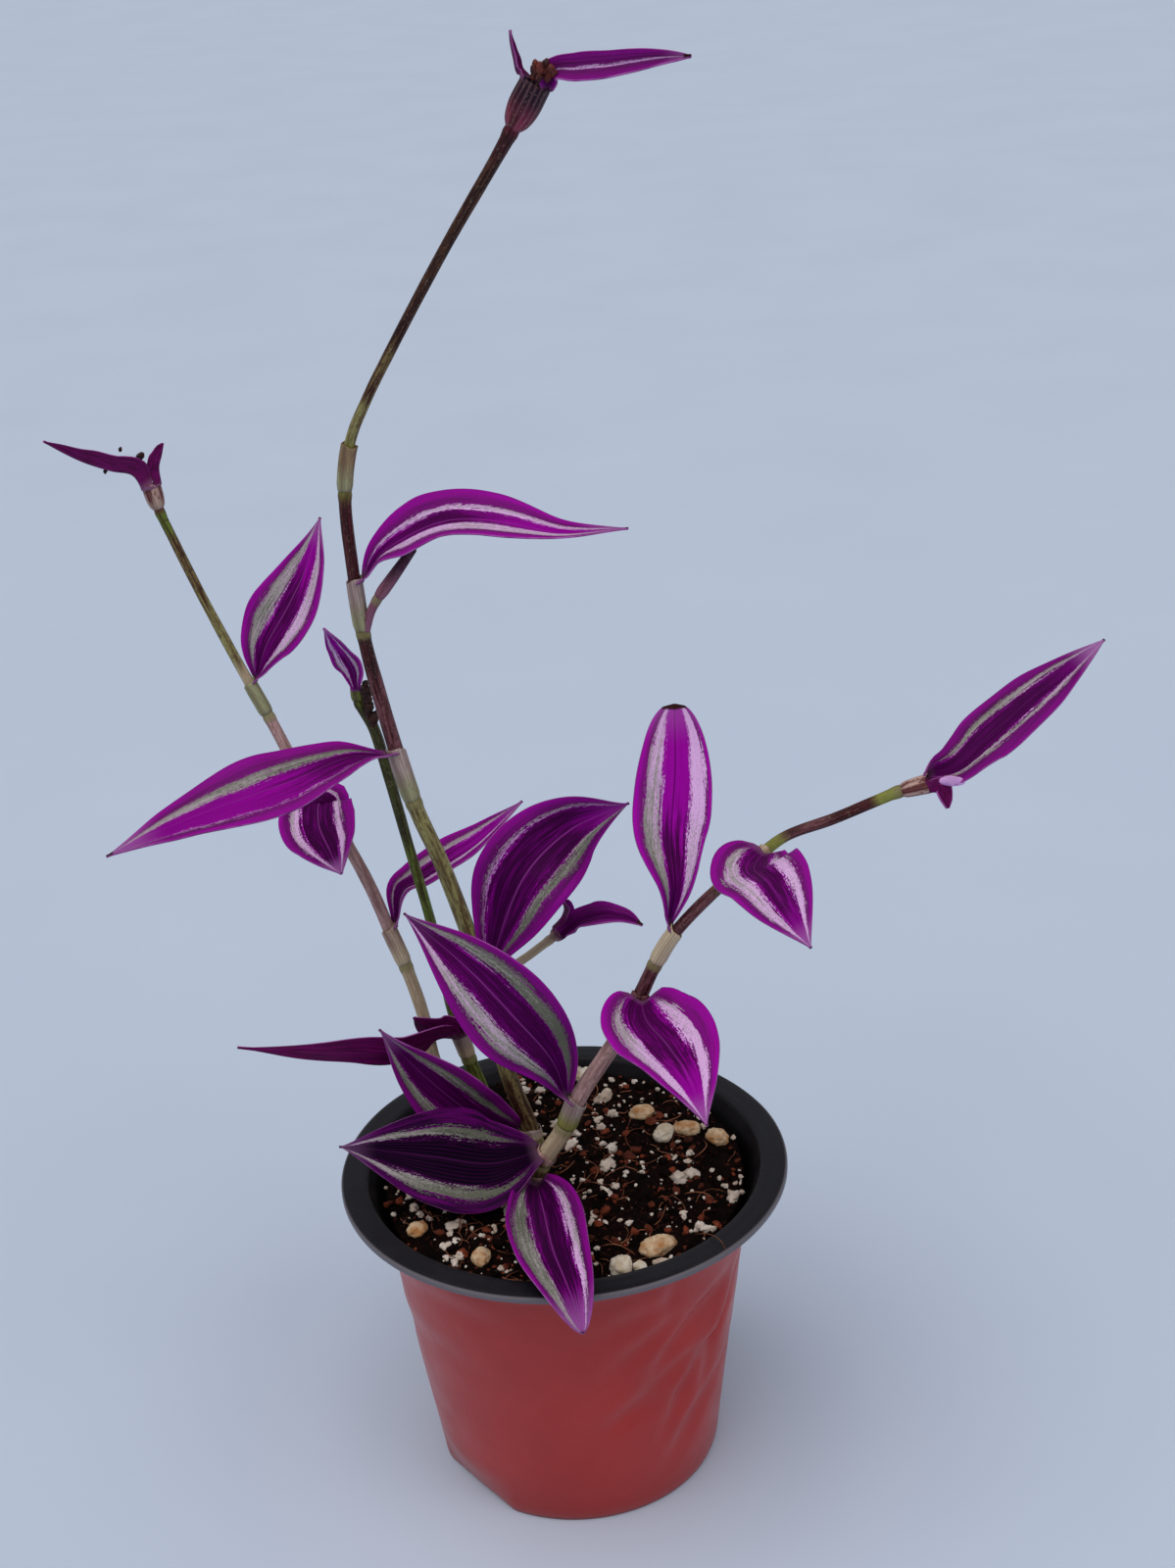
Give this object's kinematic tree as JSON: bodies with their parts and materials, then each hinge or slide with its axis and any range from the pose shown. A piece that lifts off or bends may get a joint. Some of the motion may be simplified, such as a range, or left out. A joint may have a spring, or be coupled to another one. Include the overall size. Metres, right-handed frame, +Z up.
{
  "type": "potted tradescantia",
  "caption": "Trailing zebra-striped tradescantia with upright and leaning stems in a thin two-tone plastic nursery pot.",
  "frame": {"origin": "centre of the pot's flat underside", "axes": "+Z up the pot's axis; -Y towards the viewer; +X to the viewer's right, the side the front stem leans to"},
  "size_m": [0.2607, 0.1396, 0.3797],
  "materials": {
    "pot": "semi-matte brick red outside, charcoal inside and on the rim",
    "soil": "dark damp peat with pale grains",
    "stone": "rough tan",
    "stem": "smooth, streaked green and maroon",
    "leaf": "satin purple with silvery stripes",
    "sheath": "dry and thin",
    "buds": "dry and dull",
    "petal": "soft"
  },
  "bodies": {
    "root": {"pot": "pot", "soil": "soil", "stone_1": "stone", "stone_2": "stone", "stone_3": "stone", "stone_4": "stone", "stone_5": "stone", "stone_6": "stone", "stone_7": "stone", "stone_8": "stone", "stone_9": "stone", "stone_10": "stone", "stem_tall": "stem", "stem_back": "stem", "stem_front": "stem", "stem_left": "stem", "leaf_tall_1": "leaf", "leaf_tall_2": "leaf", "leaf_tall_3": "leaf", "leaf_tall_4": "leaf", "leaf_front_1": "leaf", "leaf_front_2": "leaf", "leaf_front_3": "leaf", "leaf_front_4": "leaf", "leaf_front_5": "leaf", "leaf_front_6": "leaf", "leaf_left_1": "leaf", "leaf_left_2": "leaf", "leaf_left_3": "leaf", "leaf_back_2": "leaf", "bracts_tall": "leaf", "bracts_front": "leaf", "bracts_left": "leaf", "bracts_low_shoot": "leaf", "leaf_back_1": "leaf", "sheath_tall": "sheath", "sheath_high_shoot": "sheath", "buds_tall": "buds", "buds_left": "buds", "spent_flower": "buds", "petal": "petal"}
  },
  "joints": []
}
